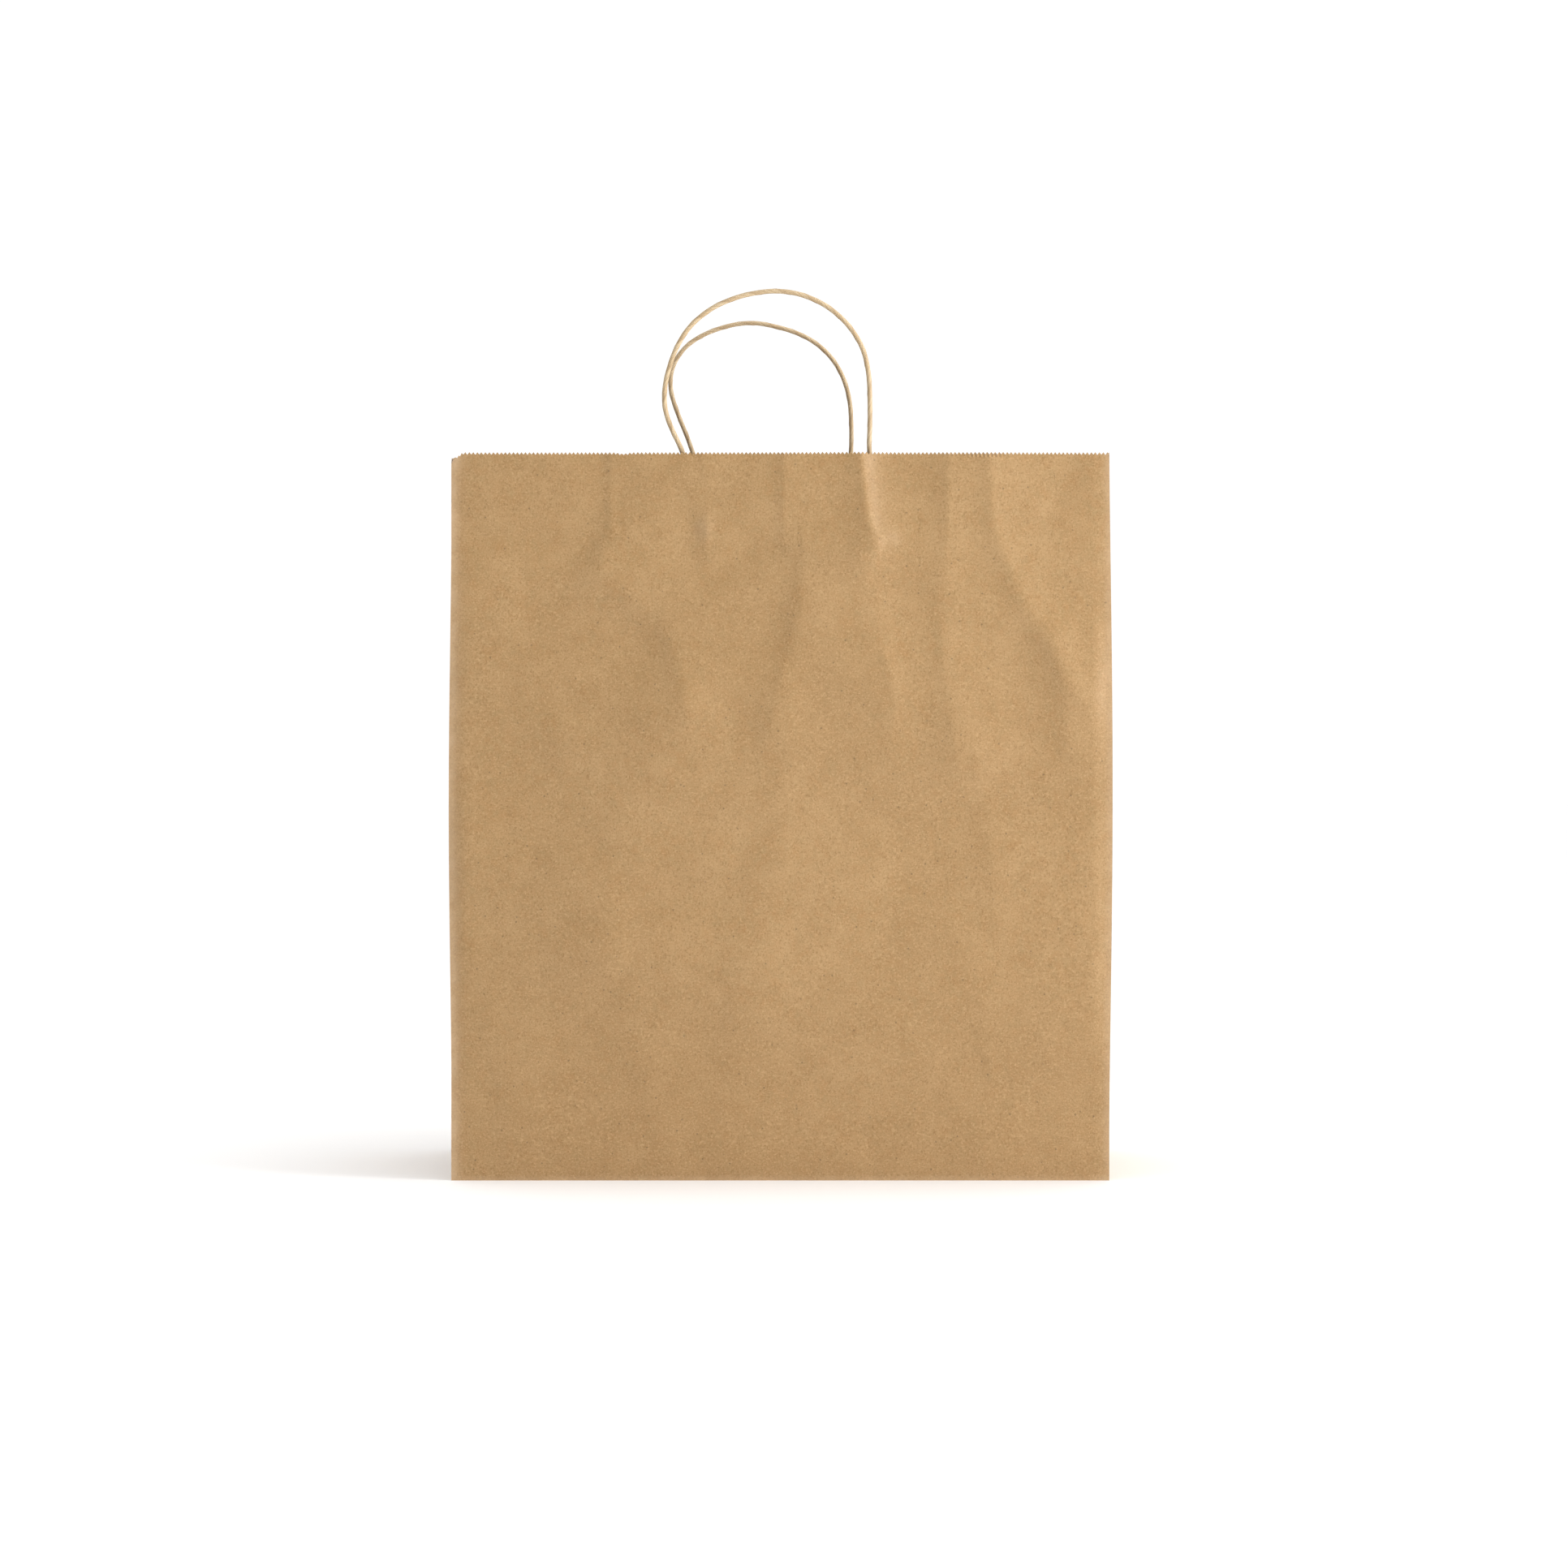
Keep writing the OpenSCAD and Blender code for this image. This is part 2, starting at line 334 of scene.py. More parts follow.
def paper_sheet(name, rows, place, outward, relief, wear_and_highlight, thickness=PAPER, shape=None):
    """A sheet of paper with two faces and a cut rim.

    place turns (u, v) into points of the first face, and the relief lifts them outward. The second face
    lies one thickness inward of the first, or outward if the thickness is negative. shape, if given, moves
    the points of the first face once more.
    """
    outward = np.array(outward, float)
    points, wear_and_highlight_values, numbers = [], [], []
    for row in rows:
        u, v = row[:, 0] / MM, row[:, 1] / MM
        first_face = place(row[:, 0], row[:, 1]) + outward * (relief(u, v) * MM)[:, None]
        if shape is not None:
            first_face = shape(first_face)
        numbers.append(list(range(len(points), len(points) + len(row))))
        points.extend(first_face)
        wear_and_highlight_values.extend(wear_and_highlight(u, v))
    count = len(points)
    points.extend([p - outward * thickness for p in points])
    faces = []
    for low, high in zip(numbers, numbers[1:]):
        stitch(low, high, faces)
    faces.extend([[i + count for i in f[::-1]] for f in list(faces)])
    right_side = [row[-1] for row in numbers[1:-1]]
    left_side = [row[0] for row in numbers[-2:0:-1]]
    rim = numbers[0] + right_side + numbers[-1][::-1] + left_side
    for a, b in zip(rim, rim[1:] + rim[:1]):
        faces.append([b, a, a + count, b + count])
    # the rows' own direction and the thickness's sign decide which way the faces look
    a, b, c = (np.array(points[i]) for i in faces[0][:3])
    if np.dot(np.cross(b - a, c - b), outward) * thickness < 0:
        faces = [f[::-1] for f in faces]
    return mesh_piece(name, points, faces, {"wear_and_highlight": wear_and_highlight_values + wear_and_highlight_values}, sharp=28)


def mesh_piece(name, points, faces, values, sharp):
    """A smooth mesh with named values at its points. Edges that turn by over sharp degrees stay sharp."""
    mesh = bpy.data.meshes.new(name)
    mesh.from_pydata([tuple(p) for p in points], [], [tuple(f) for f in faces])
    mesh.validate()
    for key, data in values.items():
        mesh.attributes.new(key, "FLOAT", "POINT").data.foreach_set("value", np.array(data, np.float32))
    mesh.polygons.foreach_set("use_smooth", [True] * len(mesh.polygons))
    mesh.set_sharp_from_angle(angle=math.radians(sharp))
    mesh.update()
    piece = bpy.data.objects.new(name, mesh)
    bpy.context.scene.collection.objects.link(piece)
    return piece


def near(distance, width):
    """Wear that fades with the distance from a crease, both in millimetres."""
    return np.exp(-(np.maximum(distance, 0) / width) ** 2)


def wall_wear(low):
    """Wear of a wide wall: its two upright creases and its foot."""
    def wear_and_highlight(x, z):
        sides = near(HALF_W_MM - np.abs(x), 2.8)
        foot = near(z - low, 1.4)
        return np.clip(0.7 * sides + 0.7 * foot, 0, 1)
    return wear_and_highlight


def front_wear_and_highlight(x, z):
    """Paler at the left edge, worn at the knocked corner, over the legs partly worn, partly painted
    highlight.
    """
    left = near(x + HALF_W_MM, 5)
    # Over the glued legs, mostly on the ridges' right side, which faces the key light: painted highlight,
    # partly worn paper
    legs = fold(x, z, [(47, 402), (52, 356)], 2, 5, 1.0, fade=7)
    legs = np.maximum(legs, 0.9 * fold(x, z, [(54, 351), (62, 347)], 4, 4, 1.0, fade=4))
    legs = np.maximum(legs, 0.7 * fold(x, z, [(-43, 354), (-39, 352)], 4, 5, 1.0, fade=3))
    corner = near(np.hypot(x + HALF_W_MM, z - TOP_MM), 7)
    return np.clip(wall_wear(0)(x, z) + 0.45 * left + 0.4 * legs + 0.6 * corner, 0, 1)


def gusset_wear(y, z):
    """Wear of a gusset half: the mid crease, the corner crease, the slanted crease and the level crease."""
    mid = 0.55 * near(np.abs(y), 1.2)
    corner = 0.6 * near(HALF_D_MM - np.abs(y), 2.2)
    slant = 0.6 * near(np.abs(z - (HALF_D_MM - np.abs(y))), 1.3)
    level = 0.45 * near(np.abs(z - FOLD_Z_MM), 1.1) * (y > 0)
    return np.clip(mid + corner + slant + level, 0, 1)


def foot_wear(y, z):
    """Wear of a foot triangle: its slanted creases and the crease it stands on."""
    slant = near(HALF_D_MM - np.abs(y) - z, 1.6)
    return np.clip(0.75 * slant + 0.75 * near(z, 1.6), 0, 1)


def strip_wear(x, z):
    """Wear of the back's lowest strip: as a wide wall, and along the level crease above it."""
    return np.clip(wall_wear(0)(x, z) + 0.7 * near(FOLD_Z_MM - z, 1.4), 0, 1)


def patch_wear(x, z):
    """Wear of a handle patch: its whole rim."""
    to_side = PATCH_HI[0] / MM - np.abs(x)
    to_level = np.minimum(z - PATCH_LO[2] / MM, PATCH_HI[2] / MM - z)
    return 0.5 * near(np.minimum(to_side, to_level), 1)


# The knocked corner: how far it reaches each way, and how far it drops and leans in
KNOCK_REACH = np.array([7, 36, 7]) * MM
KNOCK_DROP = 3.0
KNOCK_LEAN = 1.3
# The flattened teeth: where they are, half their width, how far down they reach and how far they drop
NICK_X = -85 * MM
NICK_WIDTH = 3 * MM
NICK_REACH = 2.2 * MM
NICK_DROP = 0.8 * MM
# The bow of each side edge of the front: which side, how far in millimetres, from which height to which
EDGE_BOWS = [(-1, 1.4, 60, 345), (1, 1.8, 25, 400)]
BOW_REACH = 30 * MM


def knocked_corner(points, inward):
    """The upper left front corner has been knocked down. Each sheet moves within its own plane only."""
    corner = np.array([-HALF_W, -HALF_D, TOP])
    bent = ease(1 - np.linalg.norm((points - corner) / KNOCK_REACH, axis=1))
    return points + bent[:, None] * np.array([*inward, -KNOCK_DROP]) * MM


def bowed_edges(points):
    """The front's pressed side edges stand out past the sides a little at half height."""
    points = points.copy()
    for side, bow, low, high in EDGE_BOWS:
        share = np.clip((points[:, 2] / MM - low) / (high - low), 0, 1)
        near_edge = ease((side * points[:, 0] - HALF_W) / BOW_REACH + 1)
        points[:, 0] += side * bow * MM * np.sin(math.pi * share) ** 1.4 * near_edge
    return points


def worn_front(points):
    """The bowed edges, a few teeth pressed flat near the left, and the corner beyond them knocked down."""
    points = bowed_edges(points)
    across = (points[:, 0] - NICK_X) / NICK_WIDTH
    down = (points[:, 2] - TOP + NICK_REACH) / (2 * MM)
    points[:, 2] -= NICK_DROP * np.exp(-across ** 2) * ease(down)
    return knocked_corner(points, (KNOCK_LEAN, 0))


def worn_gusset(points):
    return knocked_corner(points, (0, KNOCK_LEAN))


def wall_place(y):
    """Places a wide wall's (x, z) in the plane at y."""
    def place(x, z):
        return np.stack([x, np.full_like(x, y), z], axis=1)
    return place


def side_place(x):
    """Places a side's (y, z) in the plane at x."""
    def place(y, z):
        return np.stack([np.full_like(y, x), y, z], axis=1)
    return place


def wall_corners(half, low, high):
    return [(-half, low), (half, low), (half, high), (-half, high)]


def front_panel():
    rows = sheet_rows(wall_corners(HALF_W, 0, TOP), TEETH_FRONT, 120, fine=2, dense_from=0.86, pinked=True)
    place = wall_place(-HALF_D)
    return paper_sheet("front_sheet", rows, place, (0, -1, 0), front_relief, front_wear_and_highlight, shape=worn_front)


def back_panels():
    """The back above the level crease, and its lowest strip below the crease."""
    low = FOLD_Z + LEVEL_GAP
    rows = sheet_rows(wall_corners(HALF_W, low, TOP), TEETH_FRONT // 2, 76, fine=4, pinked=True)
    place = wall_place(HALF_D)
    upper = paper_sheet("back_sheet", rows, place, (0, 1, 0), back_relief, wall_wear(low / MM))
    rows = sheet_rows(wall_corners(HALF_W, 0, FOLD_Z), TEETH_FRONT // 2, 24)
    lower = paper_sheet("back_sheet_lower", rows, place, (0, 1, 0), strip_relief, strip_wear)
    return upper, lower


def gusset_half(name, side, way, seed):
    """One half of a side gusset. Its foot runs along the slanted crease."""
    edge = INNER_Y - CORNER_GAP
    foot_at_edge = (way * edge, HALF_D - edge + SLANT_GAP)
    foot_at_middle = (way * MID_GAP, HALF_D - MID_GAP + SLANT_GAP)
    corners = [foot_at_edge, foot_at_middle, (way * MID_GAP, TOP), (way * edge, TOP)]
    rows = sheet_rows(corners, TEETH_GUSSET // 2, 80, fine=4, pinked=True)
    place = side_place(side * HALF_W)
    return paper_sheet(name, rows, place, (side, 0, 0), gusset_relief(seed), gusset_wear, shape=worn_gusset)


def foot(name, side):
    """The triangle at the foot of a side, which turns down onto the bottom."""
    edge = INNER_Y - CORNER_GAP
    corners = [(-edge, 0), (edge, 0), (TIP_HALF, edge - TIP_HALF), (-TIP_HALF, edge - TIP_HALF)]
    rows = sheet_rows(corners, 40, 26)
    return paper_sheet(name, rows, side_place(side * HALF_W), (side, 0, 0), no_relief, foot_wear)


def ride_for(piece, body, node):
    """The piece rides on the body and stands for the CAD node."""
    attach(piece, body)
    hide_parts(node)
    return piece


# ---------- handles ----------

def smooth_line(points, per_span):
    """A smooth curve through the points: a centripetal Catmull-Rom line, which keeps short spans calm."""
    points = [np.array(p, float) for p in points]
    ends = [2 * points[0] - points[1]] + points + [2 * points[-1] - points[-2]]
    line = []
    for span in zip(ends, ends[1:], ends[2:], ends[3:]):
        knots = np.cumsum([0] + [np.linalg.norm(b - a) ** 0.5 for a, b in zip(span, span[1:])])
        for at in np.linspace(knots[1], knots[2], per_span, endpoint=False):
            shares = (at - knots[:3]) / np.diff(knots)
            level = [a + (b - a) * share for a, b, share in zip(span, span[1:], shares)]
            shares = (at - knots[:2]) / (knots[2:] - knots[:2])
            level = [a + (b - a) * share for a, b, share in zip(level, level[1:], shares)]
            line.append(level[0] + (level[1] - level[0]) * (at - knots[1]) / (knots[2] - knots[1]))
    return np.array(line + [points[-1]])


def even_steps(line, step):
    """The same line with points at even distances, and the distance of each along it."""
    lengths = np.concatenate([[0], np.cumsum(np.linalg.norm(np.diff(line, axis=0), axis=1))])
    count = max(2, int(round(lengths[-1] / step)))
    places = np.linspace(0, lengths[-1], count + 1)
    return np.stack([np.interp(places, lengths, line[:, k]) for k in range(3)], axis=1), places


def relaxed(line, reach):
    """The same line with its small bends evened out over reach points each way, and its ends kept."""
    window = np.hanning(2 * reach + 3)[1:-1]
    window /= window.sum()
    before = 2 * line[0] - line[reach:0:-1]
    after = 2 * line[-1] - line[-2:-reach - 2:-1]
    padded = np.concatenate([before, line, after])
    return np.stack([np.convolve(padded[:, k], window, mode="valid") for k in range(3)], axis=1)


def cord_line(leg_ends, bends, route, y):
    """The cord's whole centreline, from one glued end to the other, and each point's distance along it."""
    flat = [leg_ends[0], bends[0]] + list(route) + [bends[1], leg_ends[1]]
    line = smooth_line(flat, SPAN_POINTS) * MM
    line = np.stack([line[:, 0], np.full(len(line), y), TOP + line[:, 1]], axis=1)
    line, places = even_steps(line, RING_STEP)
    return relaxed(line, EASE_RINGS), places


def twist_profile(phase):
    """Radius of the twisted paper strip around its own turn: a lap edge and two soft swellings."""
    turn = np.mod(phase / (2 * math.pi), 1.0)
    lap = 0.09 * turn ** 4 - 0.02
    return CORD_R * (0.94 + lap + 0.015 * np.cos(2 * phase))


def twisted_tube(name, line, places, lean):
    """A tube with the strip's spiral lap, swept along the line.

    Its two values at each point, spiral and quarter, go round with the twist, for the paper's fibres and
    the painted shade at the lap.
    """
    along = np.gradient(line, axis=0)
    along /= np.linalg.norm(along, axis=1)[:, None]
    depth = np.array([0.0, lean, 0.0])
    across = np.cross(along, depth)
    angle = np.arange(CORD_SIDES) * 2 * math.pi / CORD_SIDES
    points, spiral, quarter = [], [], []
    for k, centre in enumerate(line):
        phase = angle + places[k] / TWIST_PITCH * 2 * math.pi + 0.5 * math.sin(places[k] / TWIST_DRIFT)
        radius = twist_profile(phase)
        ring = np.outer(radius * np.cos(angle), across[k]) + np.outer(radius * np.sin(angle), depth)
        points.extend(centre + ring)
        spiral.extend(0.5 + 0.5 * np.cos(phase))
        quarter.extend(0.5 + 0.5 * np.sin(phase))
    faces = []
    for k in range(len(line) - 1):
        for j in range(CORD_SIDES):
            n = (j + 1) % CORD_SIDES
            a, b = k * CORD_SIDES, (k + 1) * CORD_SIDES
            faces.append([a + j, b + j, b + n, a + n])
    faces.append(list(range(CORD_SIDES)))
    faces.append([(len(line) - 1) * CORD_SIDES + j for j in range(CORD_SIDES - 1, -1, -1)])
    return mesh_piece(name, points, faces, {"spiral": spiral, "quarter": quarter}, sharp=50)


def handle(side, leg_ends, bends, route):
    """One handle: two glued legs on the wall, and the loop that bends over the top edge."""
    way = -1 if side == "front" else 1
    line, places = cord_line(leg_ends, bends, route, way * CORD_Y)
    glued = np.where(line[:, 2] < CORD_EXIT)[0]
    first = glued[glued < len(line) // 2].max()
    last = glued[glued > len(line) // 2].min()
    loop = twisted_tube(side + "_handle_cord", line[first:last + 1], places[first:last + 1], way)
    left = twisted_tube(side + "_glued_leg_left", line[:first + 1], places[:first + 1], way)
    right = twisted_tube(side + "_glued_leg_right", line[last:], places[last:], way)
    for leg in (left, right):
        ride_for(leg, side, side + "_handle_legs")
    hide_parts(side + "_handle_loop")
    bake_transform(loop)
    return loop, left, right


def patch_cover(side, leg_ends, bends):
    """The cover sheet of a handle patch, pressed over both legs."""
    way = -1 if side == "front" else 1
    rows = sheet_rows(wall_corners(PATCH_HI[0], PATCH_LO[2], PATCH_HI[2]), 200, 26)

    def tents(x, z):
        rise = np.zeros_like(x)
        for end, bend in zip(leg_ends, bends):
            crest = (bend[0], TOP_MM + bend[1]), (end[0], TOP_MM + end[1] - 1)
            rise = np.maximum(rise, ridge(x, z, *crest, 3.1, 3.1, 3.05, fade=2.2))
        return rise + 0.06 * np.sin(x / 9) * np.sin(z / 7) + 0.07

    place = wall_place(way * (INNER_Y - PAPER))
    piece = paper_sheet(side + "_patch_cover", rows, place, (0, -way, 0), tents, patch_wear,
                        thickness=-COVER_THICKNESS)
    ride_for(piece, side, side + "_handle_cover")
    return piece


# ---------- materials ----------

# Screen colours, 0 to 255
KRAFT_TONE = (172, 136, 89)
# The kraft's paler tone for worn creases, which also paints the highlight over the front's glued legs
KRAFT_RUBBED_AND_LIT = (202, 171, 136)
PATCH_TONE = (184, 152, 110)
PATCH_RUBBED = (204, 174, 138)
CORD_DARK = (186, 159, 121)
CORD_PALE = (215, 194, 160)
CORD_CLOUD = (200, 170, 130)
# Painted shade for the line along the cord's lap step
CORD_LAP_SHADE = (158, 128, 92)


def nodes_of(name):
    material = bpy.data.materials.new(name)
    material.use_nodes = True
    tree = material.node_tree
    shader = tree.nodes["Principled BSDF"]
    return material, tree, shader


def add(tree, kind, **settings):
    node = tree.nodes.new(kind)
    for key, value in settings.items():
        setattr(node, key, value)
    return node


def noise(tree, source, scale, detail, stretch=(1, 1, 1), shift=0.0):
    """Noise over the source's space, stretched as asked. Over the piece's own space, scale is per metre."""
    mapping = add(tree, "ShaderNodeMapping")
    mapping.inputs["Scale"].default_value = stretch
    mapping.inputs["Location"].default_value = (shift, shift * 0.7, shift * 1.3)
    texture = add(tree, "ShaderNodeTexNoise")
    texture.inputs["Scale"].default_value = scale
    texture.inputs["Detail"].default_value = detail
    texture.inputs["Roughness"].default_value = 0.55
    tree.links.new(source, mapping.inputs["Vector"])
    tree.links.new(mapping.outputs["Vector"], texture.inputs["Vector"])
    return texture.outputs["Fac"]


def spots(tree, source, scale, size, shift):
    """Sparse small spots: one where a cell's centre is near."""
    mapping = add(tree, "ShaderNodeMapping")
    mapping.inputs["Location"].default_value = (shift, shift, shift)
    cells = add(tree, "ShaderNodeTexVoronoi")
    cells.inputs["Scale"].default_value = scale
    tree.links.new(source, mapping.inputs["Vector"])
    tree.links.new(mapping.outputs["Vector"], cells.inputs["Vector"])
    return remap(tree, cells.outputs["Distance"], size, size * 0.45, 0, 1)


def remap(tree, value, low, high, to_low, to_high):
    """Carries the range from low to high over to the new range, and holds what lies outside it."""
    node = add(tree, "ShaderNodeMapRange")
    for key, number in (("From Min", low), ("From Max", high), ("To Min", to_low), ("To Max", to_high)):
        node.inputs[key].default_value = number
    tree.links.new(value, node.inputs["Value"])
    return node.outputs["Result"]


def mix(tree, share, first, second):
    """Mixes two colours. Each is a colour or an output, and the share is an output."""
    node = add(tree, "ShaderNodeMix", data_type="RGBA")
    for socket, value in ((node.inputs[0], share), (node.inputs[6], first), (node.inputs[7], second)):
        if isinstance(value, bpy.types.NodeSocket):
            tree.links.new(value, socket)
        else:
            socket.default_value = (*value, 1)
    return node.outputs[2]


def laid_over(tree, colour, pattern, low, high, most, other):
    """The colour with another one over it where the pattern is high: none at low, the most at high."""
    return mix(tree, remap(tree, pattern, low, high, 0, most), colour, other)


def math_node(tree, operation, first, second):
    node = add(tree, "ShaderNodeMath", operation=operation)
    for socket, value in ((node.inputs[0], first), (node.inputs[1], second)):
        if isinstance(value, bpy.types.NodeSocket):
            tree.links.new(value, socket)
        else:
            socket.default_value = value
    return node.outputs[0]


def linear(red, green, blue):
    """A screen colour, 0 to 255, as the shader's linear colour."""
    return tuple(((c / 255 + 0.055) / 1.055) ** 2.4 for c in (red, green, blue))


def shade(tone, step):
    """The tone, lighter or darker by the same step in each channel, as a linear colour."""
    return linear(*(min(255, c + step) for c in tone))


def scaled(tone, *factors):
    """The tone with each channel multiplied, as a linear colour."""
    return linear(*(c * f for c, f in zip(tone, factors)))


def kraft_colour(tree, space, tone, level, upright):
    """Clouds of slightly warmer and cooler paper, grain of two directions, fibres and sparse specks."""
    warm = scaled(tone, 1.01, 0.98, 0.94)
    cool = scaled(tone, 0.985, 1.01, 1.02)
    blotch = noise(tree, space, 240, 4, shift=3.0)
    colour = laid_over(tree, warm, blotch, 0.32, 0.68, 1, cool)
    cloud = noise(tree, space, 80, 4, shift=7.0)
    colour = laid_over(tree, colour, cloud, 0.35, 0.68, 0.75, shade(tone, 13))
    broad = noise(tree, space, 9, 3, shift=1.0)
    colour = laid_over(tree, colour, broad, 0.38, 0.64, 0.36, shade(tone, -13))
    colour = laid_over(tree, colour, level, 0.48, 0.72, 0.9, shade(tone, 22))
    colour = laid_over(tree, colour, upright, 0.5, 0.72, 0.8, shade(tone, -26))
    fibre = noise(tree, space, 500, 2, stretch=(0.3, 0.3, 1.4), shift=15.0)
    colour = laid_over(tree, colour, fibre, 0.62, 0.72, 0.3, shade(tone, 20))
    dark_specks = spots(tree, space, 150, 0.10, 2.0)
    colour = laid_over(tree, colour, dark_specks, 0, 1, 0.6, scaled(tone, 0.62, 0.62, 0.62))
    pale_specks = spots(tree, space, 230, 0.10, 4.0)
    return laid_over(tree, colour, pale_specks, 0, 1, 0.4, shade(tone, 30))


def kraft_surface(tree, space, grain):
    """Fine grain, a cockle a few centimetres across, and broad soft crumples pressed into the sheet."""
    fibres = bump(tree, grain, 0.35, 0.06 * MM, None)
    cockle = bump(tree, noise(tree, space, 45, 3, shift=11.0), 0.6, 0.9 * MM, fibres)
    crumple = math_node(tree, "SUBTRACT", noise(tree, space, 10, 1.5, shift=21.0), 0.5)
    return bump(tree, math_node(tree, "ABSOLUTE", crumple, 0.0), 0.8, 6 * MM, cockle)


def kraft(name, tone, rubbed_and_lit_tone):
    """Unbleached kraft paper: cloudy, flecked with fibres, paler at worn creases and at painted highlights.
    """
    material, tree, shader = nodes_of(name)
    space = add(tree, "ShaderNodeTexCoord").outputs["Object"]
    level = noise(tree, space, 1150, 3, stretch=(0.7, 0.7, 1.0), shift=5.0)
    upright = noise(tree, space, 1250, 3, stretch=(1.0, 1.0, 0.75), shift=9.0)
    colour = kraft_colour(tree, space, tone, level, upright)
    wear_and_highlight = add(tree, "ShaderNodeAttribute", attribute_name="wear_and_highlight").outputs["Fac"]
    patchy = remap(tree, noise(tree, space, 90, 3, shift=6.0), 0.3, 0.65, 0.35, 0.8)
    # Paler where the sheets' values ask for it: worn creases, and on the front a painted highlight over the
    # glued legs
    rubbed_and_lit = math_node(tree, "MULTIPLY", wear_and_highlight, patchy)
    colour = mix(tree, rubbed_and_lit, colour, linear(*rubbed_and_lit_tone))
    tree.links.new(colour, shader.inputs["Base Color"])
    grain = math_node(tree, "ADD", level, upright)
    tree.links.new(remap(tree, grain, 0.7, 1.3, 0.48, 0.64), shader.inputs["Roughness"])
    shader.inputs["Specular IOR Level"].default_value = 0.5
    shader.inputs["Sheen Weight"].default_value = 0.06
    shader.inputs["Sheen Roughness"].default_value = 0.6
    tree.links.new(kraft_surface(tree, space, grain), shader.inputs["Normal"])
    return material


def bump(tree, height, strength, distance, below):
    """A bumped normal from the height, on top of the normal below it if there is one."""
    node = add(tree, "ShaderNodeBump")
    node.inputs["Strength"].default_value = strength
    node.inputs["Distance"].default_value = distance
    tree.links.new(height, node.inputs["Height"])
    if below is not None:
        tree.links.new(below, node.inputs["Normal"])
    return node.outputs["Normal"]


def cord_paper(name):
    """Pale twisted paper: fibres that run with the twist, and a painted shade line along the strip's lap
    step.
    """
    material, tree, shader = nodes_of(name)
    space = add(tree, "ShaderNodeTexCoord").outputs["Object"]
    spiral = add(tree, "ShaderNodeAttribute", attribute_name="spiral").outputs["Fac"]
    quarter = add(tree, "ShaderNodeAttribute", attribute_name="quarter").outputs["Fac"]
    turn = add(tree, "ShaderNodeCombineXYZ")
    tree.links.new(spiral, turn.inputs["X"])
    tree.links.new(quarter, turn.inputs["Y"])
    strand = noise(tree, turn.outputs["Vector"], 4.5, 3, shift=2.0)
    cloud = noise(tree, space, 120, 3, shift=1.0)
    colour = laid_over(tree, linear(*CORD_DARK), strand, 0.35, 0.68, 1, linear(*CORD_PALE))
    colour = laid_over(tree, colour, cloud, 0.35, 0.7, 0.3, linear(*CORD_CLOUD))
    # A painted shade line along the lap step, where the spiral value is near its top
    colour = laid_over(tree, colour, spiral, 0.93, 1.0, 0.5, linear(*CORD_LAP_SHADE))
    tree.links.new(colour, shader.inputs["Base Color"])
    tree.links.new(remap(tree, strand, 0.3, 0.7, 0.55, 0.75), shader.inputs["Roughness"])
    shader.inputs["Specular IOR Level"].default_value = 0.35
    tree.links.new(bump(tree, strand, 0.4, 0.06 * MM, None), shader.inputs["Normal"])
    return material


def floor_white(name):
    """A matt white studio floor with hardly any variation."""
    material, tree, shader = nodes_of(name)
    space = add(tree, "ShaderNodeTexCoord").outputs["Object"]
    cloud = noise(tree, space, 1.5, 2)
    colour = laid_over(tree, (0.96, 0.96, 0.96), cloud, 0.3, 0.7, 1, (0.98, 0.98, 0.98))
    tree.links.new(colour, shader.inputs["Base Color"])
    shader.inputs["Roughness"].default_value = 0.9
    return material


def paint(piece, material):
    piece.data.materials.clear()
    piece.data.materials.append(material)


def paint_node(node, material):
    """A CAD node keeps its mesh and takes the material in its object's slots."""
    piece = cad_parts[node]
    for place in piece.material_slots:
        place.link = "OBJECT"
        place.material = material


# ---------- the bag ----------

def walls():
    """The front, the back and the back's lowest strip."""
    front = ride_for(front_panel(), "front", "front_panel")
    upper, lower = back_panels()
    return [front, ride_for(upper, "back", "back_panel"), ride_for(lower, "back_lower", "back_panel_lower")]


def sides():
    """Two gusset halves and a foot triangle on each side."""
    pieces = []
    for number, (side, name) in enumerate(((-1, "left"), (1, "right"))):
        for way, half in ((1, "back"), (-1, "front")):
            node = f"{name}_gusset_{half}"
            seed = 10 * number + way + 2
            pieces.append(ride_for(gusset_half(node + "_sheet", side, way, seed), node, node))
        pieces.append(ride_for(foot(name + "_foot_sheet", side), name + "_foot", name + "_foot"))
    return pieces


def build_bag(kraft_paper, patch_paper, cord):
    for piece in walls() + sides():
        paint(piece, kraft_paper)
    for node in ("base_flap_front", "base_flap_back", "base_tuck_left", "base_tuck_right"):
        paint_node(node, kraft_paper)
    for node in ("seam_lap", "seam_lap_lower", "front_handle_backing", "back_handle_backing"):
        paint_node(node, patch_paper)
    for side, ends, bends, route, length in (
            ("front", FRONT_LEG_ENDS, FRONT_BENDS, FRONT_ROUTE, FRONT_CORD_LENGTH),
            ("back", BACK_LEG_ENDS, BACK_BENDS, BACK_ROUTE, BACK_CORD_LENGTH)):
        paint(patch_cover(side, ends, bends), patch_paper)
        for piece in handle(side, ends, bends, route):
            paint(piece, cord)


# ---------- stage ----------

# The sky's strength above the front, and its strength behind the bag and along the horizon
FRONT_SKY = 0.1
BACK_SKY = 1.05
# The key light stands far to the right, a little in front, so that it grazes the folds
KEY_PLACE = (3.12, -1.36, 0.67)
KEY_TARGET = (0, 0, 0.22)
KEY_SIZE = 1.28
KEY_POWER = 109
TOP_PLACE = (0, -0.2, 2)
TOP_POWER = 2.4
TOP_ANGLE = 0.9
# The floor is wide enough for its far edge to stay out of view
FLOOR_HALF = 40.0
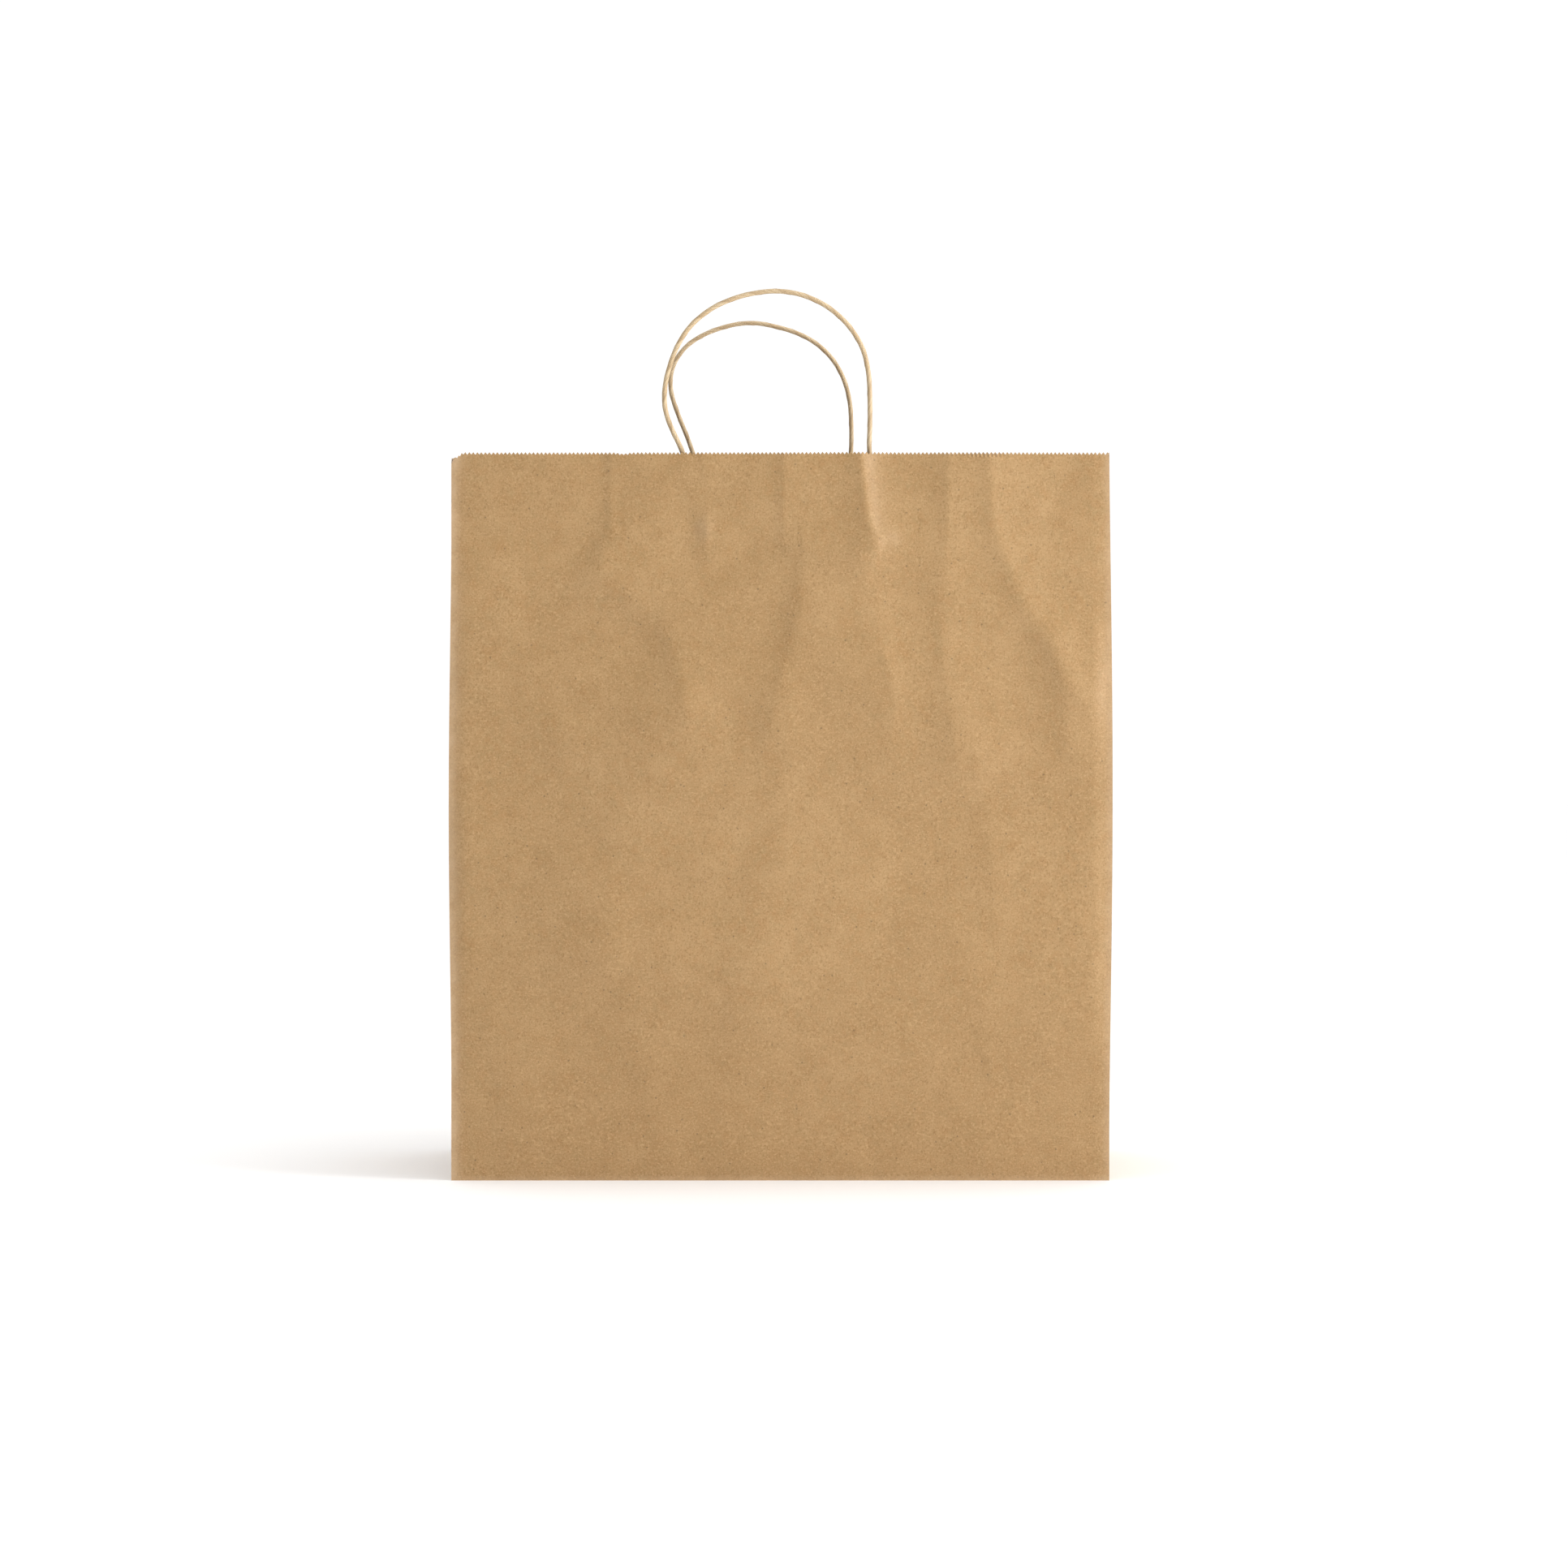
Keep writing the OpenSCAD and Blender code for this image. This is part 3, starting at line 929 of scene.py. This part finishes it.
# The camera looks level along Y from in front of the bag
CAMERA_LENS = 87
CAMERA_X = 2 * MM
CAMERA_GAP = 2.05
CAMERA_Z = 0.2145


def aim(way):
    """The turn that points a light's -Z along way."""
    return Vector(way).to_track_quat("-Z", "Y").to_euler()


def lamp(name, kind, place, target, power, **settings):
    """A light at the place that points at the target."""
    data = bpy.data.lights.new(name, kind)
    data.energy = power
    for key, value in settings.items():
        setattr(data, key, value)
    light = bpy.data.objects.new(name, data)
    light.location = place
    light.rotation_euler = aim(np.array(target) - np.array(place))
    bpy.context.scene.collection.objects.link(light)


def studio_world(front, back):
    """Soft light: bright behind the bag and along the horizon all round, and dimmer above the front."""
    world = bpy.data.worlds.new("studio")
    world.use_nodes = True
    tree = world.node_tree
    place = add(tree, "ShaderNodeTexCoord").outputs["Generated"]
    split = add(tree, "ShaderNodeSeparateXYZ")
    tree.links.new(place, split.inputs["Vector"])
    sky = tree.nodes["Background"]
    sky.inputs["Color"].default_value = (1, 1, 1, 1)
    behind = remap(tree, split.outputs["Y"], 0.2, 0.8, front, back)
    horizon = remap(tree, split.outputs["Z"], 0.04, 0.14, back, front)
    tree.links.new(math_node(tree, "MAXIMUM", behind, horizon), sky.inputs["Strength"])
    bpy.context.scene.world = world


def stage():
    """The floor, the sky and the two lights."""
    mesh = bpy.data.meshes.new("floor")
    corners = [(x * FLOOR_HALF, y * FLOOR_HALF, 0) for x, y in ((-1, -1), (1, -1), (1, 1), (-1, 1))]
    mesh.from_pydata(corners, [], [(0, 1, 2, 3)])
    floor = bpy.data.objects.new("floor", mesh)
    bpy.context.scene.collection.objects.link(floor)
    paint(floor, floor_white("floor_white"))
    studio_world(FRONT_SKY, BACK_SKY)
    lamp("key", "AREA", KEY_PLACE, KEY_TARGET, KEY_POWER, shape="SQUARE", size=KEY_SIZE)
    lamp("top", "SUN", TOP_PLACE, (0, 0, 0), TOP_POWER, angle=TOP_ANGLE)


def camera():
    data = bpy.data.cameras.new("camera")
    data.sensor_width = 36
    data.lens = CAMERA_LENS
    view = bpy.data.objects.new("camera", data)
    view.location = (CAMERA_X, -HALF_D - CAMERA_GAP, CAMERA_Z)
    view.rotation_euler = (math.pi / 2, 0, 0)
    bpy.context.scene.collection.objects.link(view)
    bpy.context.scene.camera = view
    bpy.context.scene.view_settings.view_transform = "Standard"


camera()
build_bag(kraft("kraft_paper", KRAFT_TONE, KRAFT_RUBBED_AND_LIT),
          kraft("patch_paper", PATCH_TONE, PATCH_RUBBED),
          cord_paper("twisted_cord"))
stage()
